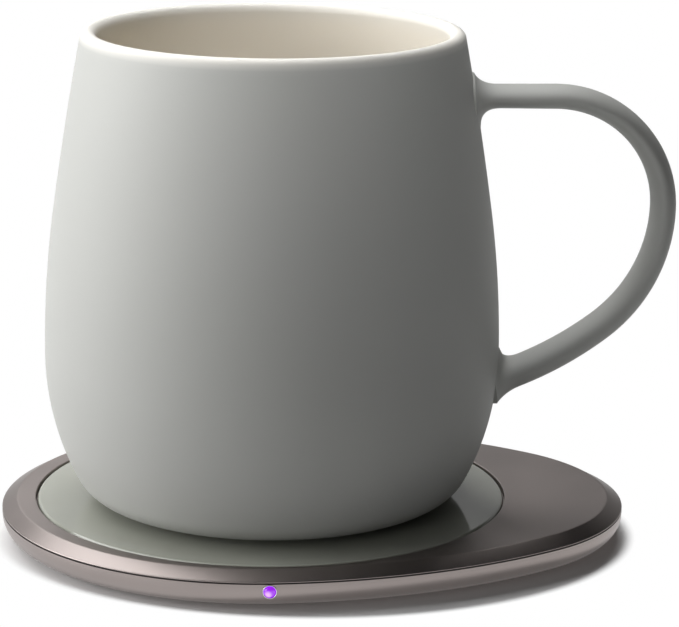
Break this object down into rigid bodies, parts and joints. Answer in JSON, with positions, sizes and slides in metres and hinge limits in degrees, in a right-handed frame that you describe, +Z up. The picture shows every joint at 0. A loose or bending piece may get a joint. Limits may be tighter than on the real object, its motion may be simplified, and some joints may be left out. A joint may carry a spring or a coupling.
{
  "type": "mug warmer",
  "caption": "Egg-shaped low induction pad with a round flush heated disc and status light, and the round-bodied loop-handled mug that stands on it and lifts off.",
  "frame": {"origin": "on the floor, at the underside of the foot, on the axis of the round disc", "axes": "+Z up along the disc's axis; +X to the pad's nose and the mug's handle; the status light is at the front, towards -Y, and the power inlet at the back, towards +Y"},
  "size_m": [0.1366, 0.1046, 0.1038],
  "materials": {
    "bronze_metal": "satin, fine brushed, warm bronze-grey anodised",
    "disc_glass": "gloss, opaque grey-green backed glass",
    "stoneware": "matte grey glaze outside, cream satin glaze inside and on the lip",
    "foot_silicone": "matte",
    "seal_rubber": "matte",
    "clear_lens": "gloss, tinted violet",
    "ring_metal": "polished",
    "steel": "plain",
    "copper": "enamelled copper",
    "ferrite": "matte",
    "shield_metal": "plain sheet",
    "black_plastic": "moulded",
    "board_laminate": "solder mask",
    "mica": "sheet",
    "heating_film": "matte metal film"
  },
  "bodies": {
    "pad": {"upper_cover": "bronze_metal", "lower_case": "bronze_metal", "case_seal": "seal_rubber", "top_disc": "disc_glass", "disc_tape": "seal_rubber", "foot_pad": "foot_silicone", "case_screws": "steel", "insulation_sheet": "mica", "induction_coil": "copper", "coil_carrier": "black_plastic", "ferrite_bars": "ferrite", "shield_plate": "shield_metal", "sensor_holder": "foot_silicone", "temperature_sensor": "black_plastic", "coil_leads": "copper", "sensor_lead": "black_plastic", "control_board": "board_laminate", "board_screws": "steel", "microcontroller": "black_plastic", "power_inductor": "ferrite", "power_transistors": "black_plastic", "tank_capacitors": "mica", "small_chip_parts": "mica", "status_lamp": "mica", "status_lens": "clear_lens", "light_ring": "ring_metal", "inlet_shell": "steel", "inlet_tongue": "black_plastic"},
    "mug": {"mug": "stoneware", "heating_layer": "heating_film"}
  },
  "joints": [
    {"name": "mug_lift", "type": "slide", "parent": "pad", "child": "mug", "axis": [0, 0, 1], "range_m": [0, 0.12]}
  ]
}
